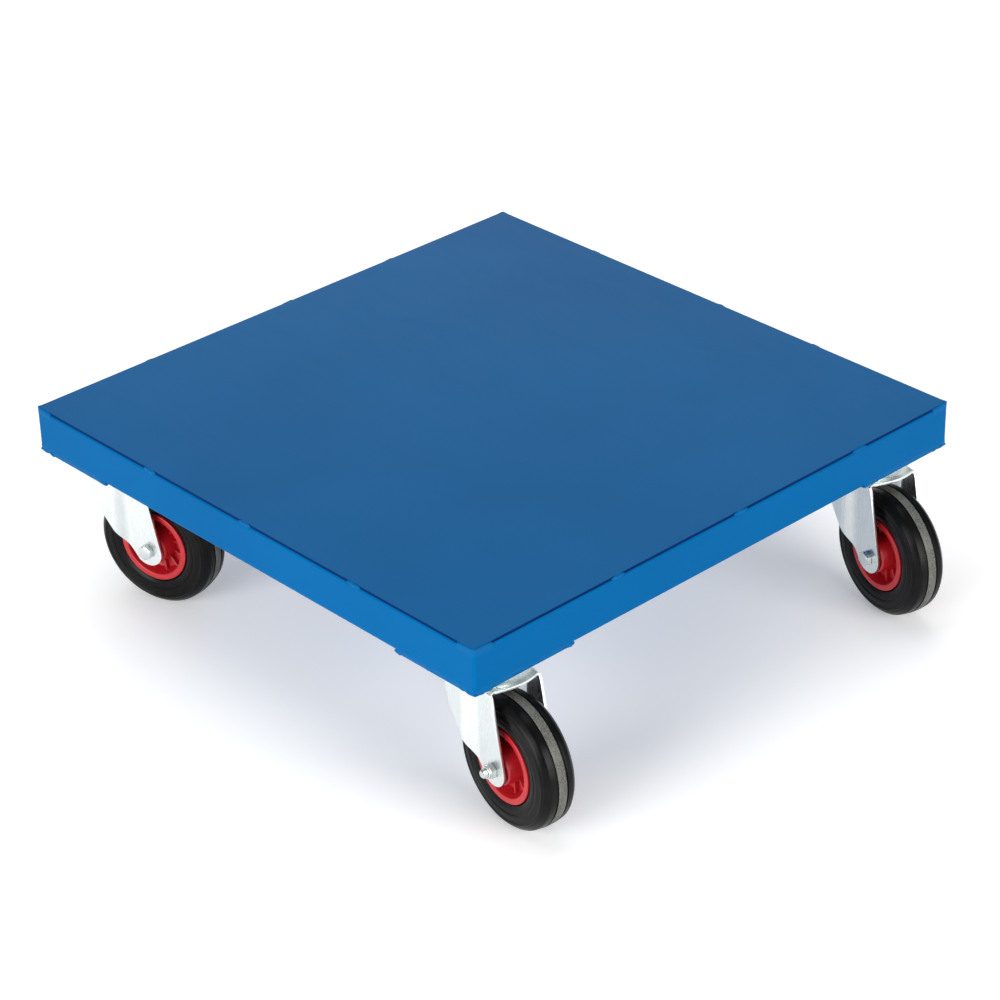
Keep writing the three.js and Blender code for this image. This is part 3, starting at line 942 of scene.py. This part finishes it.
rows = 2 * (END_ROWS + LEG_ROWS + FOLD_ROWS + CROWN_ROWS)
fork = start("fork", bpy.ops.mesh.primitive_grid_add, x_subdivisions=ACROSS,
             y_subdivisions=rows, size=1)
for vertex in fork.data.vertices:
    share, row = vertex.co.x + 0.5, round((vertex.co.y + 0.5) * rows)
    vertex.co = blank_point(share, row)
pick(fork, "polygons", lambda face: True)
bpy.ops.mesh.normals_make_consistent(inside=False)
done(fork)
top = max(fork.data.polygons, key=lambda face: face.center.z)
if top.normal.z < 0:
    fork.data.flip_normals()
add_modifier(fork, "SOLIDIFY", thickness=STEEL * MM, offset=-1, use_even_offset=True)
print("fork blank:", len(fork.data.polygons), "faces")

# %% [markdown]
# The hole for the king pin is punched last, with a boolean, and the cut
# edges of the sheet are eased.
# %% King-pin hole and eased edges
punch = start("punch", bpy.ops.mesh.primitive_cylinder_add, vertices=48, radius=9 * MM,
              depth=20 * MM, location=(0, 0, DRUM_Z * MM))
add_modifier(fork, "BOOLEAN", operation="DIFFERENCE", solver="EXACT", object=punch)
bpy.data.objects.remove(punch)
add_modifier(fork, "BEVEL", width=0.45 * MM, segments=2, limit_method="ANGLE",
             angle_limit=math.radians(55))
fork.data.materials.clear()
fork.data.materials.append(zinc_plate)
smooth(fork, 40)
print("fork:", len(fork.data.polygons), "faces")

# %% [markdown]
# **Swivel head.** Between the top plate and the fork run two rows of balls:
# one on the drum, one under it on the flange of the king pin. A dust ring
# hangs round the upper row. The balls are small spheres, copied in a ring.
# %% King pin, dust ring and balls
BALL = 2.3
PLATE_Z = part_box("top_plate_front_left")[0].z / MM
flange_top = DRUM_Z - STEEL - 2 * BALL - 0.6
pin_top = PLATE_Z + 2.7
king_pin = spun("king_pin", [
    (0, flange_top - 6.5, 0), (9, flange_top - 6.5, 2.2), (9, flange_top - 3, 0.3),
    (22, flange_top - 3, 1.0), (22, flange_top, 0.8), (7, flange_top, 0.3),
    (7, pin_top, 0.5), (0, pin_top, 0),
])
king_pin.data.materials.append(zinc_plate)
smooth(king_pin)
dust_ring = spun("dust_ring", [
    (31.6, DRUM_Z + 0.4, 0.3), (33.0, DRUM_Z + 0.4, 0.3), (33.0, PLATE_Z - 0.2, 0.3),
    (31.6, PLATE_Z - 0.2, 0.3),
], arc_steps=2)
dust_ring.data.materials.append(zinc_plate)
smooth(dust_ring)


def ball_row(name, radius, height, gap=0.35):
    """A ring of balls about Z, in millimetres."""
    number = int(2 * math.pi * radius / (2 * BALL + gap))
    balls = []
    for i in range(number):
        turn = 2 * math.pi * i / number
        balls.append(start(f"ball_{i}", bpy.ops.mesh.primitive_uv_sphere_add, segments=12,
                           ring_count=8, radius=BALL * MM,
                           location=(radius * math.cos(turn) * MM,
                                     radius * math.sin(turn) * MM, height * MM)))
    activate(*balls)
    bpy.ops.object.join()
    balls[0].name = balls[0].data.name = name
    balls[0].data.materials.append(ball_steel)
    return smooth(balls[0], 60)


upper_balls = ball_row("upper_balls", 27, (DRUM_Z + PLATE_Z) / 2)
lower_balls = ball_row("lower_balls", 17, DRUM_Z - STEEL - 0.3 - BALL)
print("balls:", len(upper_balls.data.polygons) // 96, "and", len(lower_balls.data.polygons) // 96)

# %% [markdown]
# **Top plate and its bolts.** A plate with rounded corners, held up by four
# hexagon bolts with washers.
# %% Top plate and mounting bolts
plate_low, plate_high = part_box("top_plate_front_left")
plate_size = plate_high - plate_low
top_plate = start("top_plate", bpy.ops.mesh.primitive_cube_add, size=1,
                  location=(0, 0, (plate_low.z + plate_high.z) / 2), scale=plate_size)
bevel(top_plate, 8 * MM, 6, lambda a, b: abs(a.z - b.z) > MM)
bevel(top_plate, 0.4 * MM, 2, lambda a, b: abs(a.z - b.z) < MM / 2)
top_plate.data.materials.append(zinc_plate)
smooth(top_plate)

washer = spun("washer", [(4.3, -1.6, 0.2), (8.0, -1.6, 0.3), (8.0, 0, 0.3), (4.3, 0, 0.2)],
              steps=40, arc_steps=2)
mount_head = hexagon("mount_head", 7.5, 1.6, 6.4)
mount_head.data.transform(Matrix.Rotation(math.pi, 4, "X"))
mount_shank = spun("mount_shank", [(0, -2, 0), (4.0, -2, 0), *thread(4.0, -1.5, 13), (3.2, 13.5, 0),
                                   (0, 13.5, 0)], steps=24)
activate(mount_head, washer, mount_shank)
bpy.ops.object.join()
mount_head.data.materials.append(zinc_bolt)
smooth(mount_head, 30)
BOLT_X, BOLT_Y = 40 * MM, 30 * MM
bolts = []
for i, (sx, sy) in enumerate(((-1, -1), (1, -1), (1, 1), (-1, 1))):
    place = Matrix.Translation((sx * BOLT_X, sy * BOLT_Y, plate_low.z))
    bolts.append(copy_to(mount_head, f"bolt_{i}", place @ Matrix.Rotation(0.3 + 0.5 * i, 4, "Z")))
bpy.data.objects.remove(mount_head)
activate(*bolts)
bpy.ops.object.join()
mounting_bolts = bolts[0]
print("top plate and bolts")

# %% [markdown]
# ## Four casters from one
# The masters are copied to each corner and turned to that caster's heading.
# The axle bolt goes in from the side that the frame says, which is found from
# where its nut is.
# %% Place the casters
HEAD_PIECES = {"top_plate": top_plate, "king_pin": king_pin, "dust_ring": dust_ring}
FORK_PIECES = {"fork": (fork, "zinc_plate"), "axle_sleeve": (sleeve, "zinc_plate"),
               "upper_balls": (upper_balls, "bearing_steel"),
               "lower_balls": (lower_balls, "bearing_steel")}
WHEEL_PIECES = {"tyre": (tyre, "black_rubber"), "rim": (rim, "red_plastic"),
                "roller_bearing": (bearing, "bearing_plastic")}
AXLE_PIECES = {"axle_bolt": axle_bolt, "axle_nut": axle_nut}


def place_caster(corner):
    """Copies every piece of the caster to one corner."""
    caster = CASTERS[corner]
    here = Matrix.Translation(caster["swivel"])
    turned = here @ Matrix.Rotation(caster["heading"], 4, "Z")
    for kind, master in HEAD_PIECES.items():
        node = f"{kind}_{corner}"
        mount(copy_to(master, "made_" + node, here), "platform", "zinc_plate", node)
    bolts = copy_to(mounting_bolts, "mounting_bolts_" + corner, here)
    mount(bolts, "platform", "zinc_plate")
    for kind, (master, slot) in FORK_PIECES.items():
        node = f"{kind}_{corner}"
        mount(copy_to(master, "made_" + node, turned), "swivel_" + corner, slot, node)
    for kind, (master, slot) in WHEEL_PIECES.items():
        node = f"{kind}_{corner}"
        mount(copy_to(master, "made_" + node, turned), "wheel_" + corner, slot, node)
    low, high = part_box("axle_nut_" + corner)
    nut_y = (turned.inverted() @ ((low + high) / 2)).y
    flip = Matrix.Identity(4)
    if nut_y > 0:
        flip = (Matrix.Translation(WHEEL) @ Matrix.Rotation(math.pi, 4, "Z")
                @ Matrix.Translation(-WHEEL))
    for kind, master in AXLE_PIECES.items():
        node = f"{kind}_{corner}"
        mount(copy_to(master, "made_" + node, turned @ flip), "swivel_" + corner,
              "zinc_plate", node)


for corner in CORNERS:
    place_caster(corner)
masters = [*HEAD_PIECES.values(), mounting_bolts, *AXLE_PIECES.values()]
masters += [master for master, _ in (*FORK_PIECES.values(), *WHEEL_PIECES.values())]
for master in masters:
    bpy.data.objects.remove(master)
print("casters placed:", len(CORNERS))

# %% [markdown]
# ## Stage, light and camera
# The floor is pale and gives off a little light of its own, so the shadow on
# it stays soft and light.
# %% Floor
floor = start("floor", bpy.ops.mesh.primitive_plane_add, size=30)
floor_paint, nodes, links, shader, place = new_finish("pale_floor", (0.95, 0.95, 0.95), 0.95)
links.new(spread(nodes, links, noise(nodes, links, place, 3, 2), 0.85, 0.95),
          shader.inputs["Roughness"])
shader.inputs["Specular IOR Level"].default_value = 0.1
shader.inputs["Emission Color"].default_value = (1, 1, 1, 1)
shader.inputs["Emission Strength"].default_value = 0.22
floor.data.materials.append(floor_paint)


# %% [markdown]
# One large soft light hangs overhead, two stand low at the sides and light
# the frame's two near faces, and a weak one is behind. The surround is white.
# %% Lights
def area_light(name, location, target, size, power):
    """A square light of one size and power, turned to a target."""
    data = bpy.data.lights.new(name, "AREA")
    data.size = size
    data.energy = power
    light = bpy.data.objects.new(name, data)
    light.location = location
    aim = Vector(target) - Vector(location)
    light.rotation_euler = aim.to_track_quat("-Z", "Y").to_euler()
    bpy.context.scene.collection.objects.link(light)
    return light


area_light("overhead", (0.3, 0.9, 3.0), (0.1, 0.5, 0), 3.0, 44)
area_light("from_left", (-2.9, -0.3, 0.75), (0, 0, 0.12), 1.9, 87)
area_light("from_right", (0.2, -2.9, 0.75), (0, 0, 0.12), 1.9, 67)
area_light("backdrop", (2.2, 2.4, 1.0), (0, 0, 0.2), 2.2, 18)

world = bpy.data.worlds.new("studio")
bpy.context.scene.world = world
world.use_nodes = True
sky = world.node_tree.nodes["Background"]
sky.inputs["Color"].default_value = (1, 1, 1, 1)
sky.inputs["Strength"].default_value = 0.33
bpy.context.scene.view_settings.view_transform = "Standard"

# %% [markdown]
# The camera looks down at the front left corner through a long lens.
# %% Camera
AZIMUTH, ELEVATION, ROLL = -42.63, 30.03, -1.43
AIM = Vector((-0.0251, -0.0377, 0.1202))
DISTANCE = 2.986
turn, tilt = math.radians(AZIMUTH), math.radians(ELEVATION)
back = Vector((math.sin(turn) * math.cos(tilt), -math.cos(turn) * math.cos(tilt), math.sin(tilt)))
lens = bpy.data.cameras.new("camera")
lens.lens = 115.57
lens.sensor_width = 36
camera = bpy.data.objects.new("camera", lens)
bpy.context.scene.collection.objects.link(camera)
camera.rotation_mode = "QUATERNION"
camera.location = AIM + DISTANCE * back
level = (-back).to_track_quat("-Z", "Y")
camera.rotation_quaternion = level @ Matrix.Rotation(math.radians(ROLL), 3, "Z").to_quaternion()
bpy.context.scene.camera = camera
print("camera at", tuple(round(v, 3) for v in camera.location))
